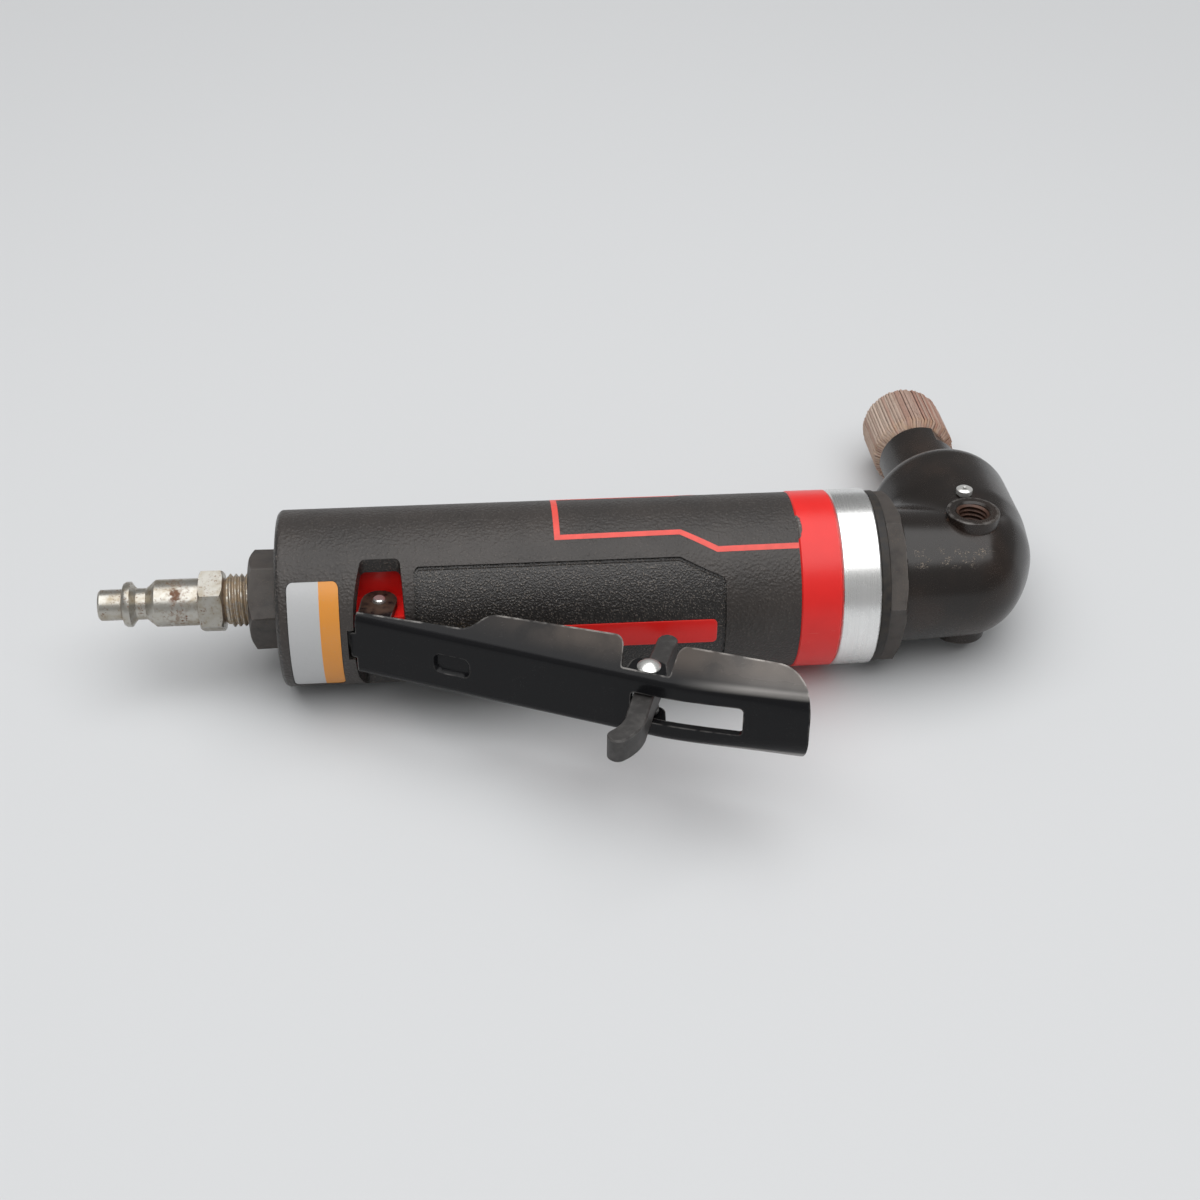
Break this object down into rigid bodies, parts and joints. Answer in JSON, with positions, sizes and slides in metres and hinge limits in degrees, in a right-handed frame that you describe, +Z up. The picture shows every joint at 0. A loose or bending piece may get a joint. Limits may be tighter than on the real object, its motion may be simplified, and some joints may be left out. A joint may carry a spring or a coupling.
{
  "type": "right angle air die grinder",
  "caption": "Pneumatic right angle die grinder with a throttle lever, lock-off latch, angle head, collet, small flap wheel and threaded air plug.",
  "frame": {"origin": "on the surface it lies on, under the middle of the whole tool", "axes": "+X along the motor from the air plug to the angle head, +Y to the side that the wheel points to, +Z up"},
  "size_m": [0.2416, 0.152, 0.0454],
  "materials": {
    "red_body": "moulded, satin",
    "grip_black": "moulded, fine grain",
    "black_steel": "black oxide, worn at the edges",
    "lever_black": "glossy black, worn at the edges",
    "latch_grey": "dark grey, worn at the edges",
    "plated_steel": "zinc plated, dull",
    "ring_aluminium": "turned and polished",
    "spacer_black": "satin",
    "vent_black": "moulded",
    "felt": "felt",
    "brass": "turned",
    "seal_rubber": "moulded",
    "spring_steel": "drawn wire",
    "cylinder_iron": "ground",
    "bearing_steel": "ground",
    "vane_fibre": "laminated fibre",
    "resin": "cast resin",
    "abrasive_cloth": "abrasive cloth, worn"
  },
  "bodies": {
    "housing": {"handle_body": "red_body", "grip_sleeve": "grip_black", "inlet_bushing": "black_steel", "inlet_screen": "brass", "inlet_seal": "seal_rubber", "air_plug": "plated_steel", "exhaust_cover": "vent_black", "exhaust_muffler": "felt", "throttle_bushing": "brass", "stem_seal": "seal_rubber", "valve_seat": "brass", "valve_plug": "brass", "valve_spring": "spring_steel", "lever_pin": "plated_steel", "motor_housing": "ring_aluminium", "motor_cylinder": "cylinder_iron", "cylinder_pin": "bearing_steel", "rear_end_plate": "cylinder_iron", "front_end_plate": "cylinder_iron", "rear_bearing_outer": "bearing_steel", "front_bearing_outer": "bearing_steel", "preload_washer": "spring_steel", "spacer_ring": "spacer_black", "clamp_nut": "black_steel", "angle_head": "black_steel", "pinion_rear_bearing_outer": "bearing_steel", "pinion_front_bearing_outer": "bearing_steel", "spindle_upper_bearing_outer": "bearing_steel", "spindle_lower_bearing_outer": "bearing_steel", "bearing_cap": "black_steel", "spindle_seal": "seal_rubber", "grease_fitting": "plated_steel"},
    "rotor": {"rotor": "bearing_steel", "rotor_vanes": "vane_fibre", "rear_bearing_inner": "bearing_steel", "front_bearing_inner": "bearing_steel", "pinion_shaft": "bearing_steel", "pinion_rear_bearing_inner": "bearing_steel", "pinion_spacer": "bearing_steel", "pinion_front_bearing_inner": "bearing_steel"},
    "spindle": {"spindle": "bearing_steel", "bevel_gear": "bearing_steel", "gear_spacer": "bearing_steel", "spindle_upper_bearing_inner": "bearing_steel", "spindle_lower_bearing_inner": "bearing_steel", "collet": "bearing_steel", "collet_nut": "black_steel", "wheel_shank": "bearing_steel", "wheel_hub": "resin", "wheel_flaps": "abrasive_cloth"},
    "lever": {"throttle_lever": "lever_black", "latch_pin": "plated_steel", "latch_spring": "spring_steel"},
    "latch": {"safety_latch": "latch_grey"},
    "valve": {"valve_stem": "brass", "valve_washer": "seal_rubber"}
  },
  "joints": [
    {"name": "lever_pivot", "type": "hinge", "parent": "housing", "child": "lever", "pos_m": [-0.04985, -0.02133, 0.02451], "axis": [0, 0.1294, 0.9916], "range_deg": [0, 9], "stiffness_Nm_per_rad": 0.5, "springref_deg": -5.73},
    {"name": "latch_pivot", "type": "hinge", "parent": "lever", "child": "latch", "pos_m": [0.01385, -0.05376, 0.02875], "axis": [0, 0.1294, 0.9916], "range_deg": [0, 86], "deforming": ["latch_spring"]},
    {"name": "valve_slide", "type": "slide", "parent": "housing", "child": "valve", "axis": [0, 0.9916, -0.1294], "range_m": [0, 0.0039], "deforming": ["valve_spring"]},
    {"name": "rotor_spin", "type": "hinge", "parent": "housing", "child": "rotor", "pos_m": [0.00615, -0.00744, 0.0227], "axis": [1, 0, 0], "continuous": true},
    {"name": "spindle_spin", "type": "hinge", "parent": "housing", "child": "spindle", "pos_m": [0.10185, -0.00744, 0.0227], "axis": [0, 0.9916, -0.1294], "continuous": true}
  ],
  "couplings": [
    {"joint": "latch_pivot", "follows": "lever_pivot", "ratio": 9.5556},
    {"joint": "valve_slide", "follows": "lever_pivot", "m_per_rad": 0.0246},
    {"joint": "spindle_spin", "follows": "rotor_spin", "ratio": 0.75}
  ]
}
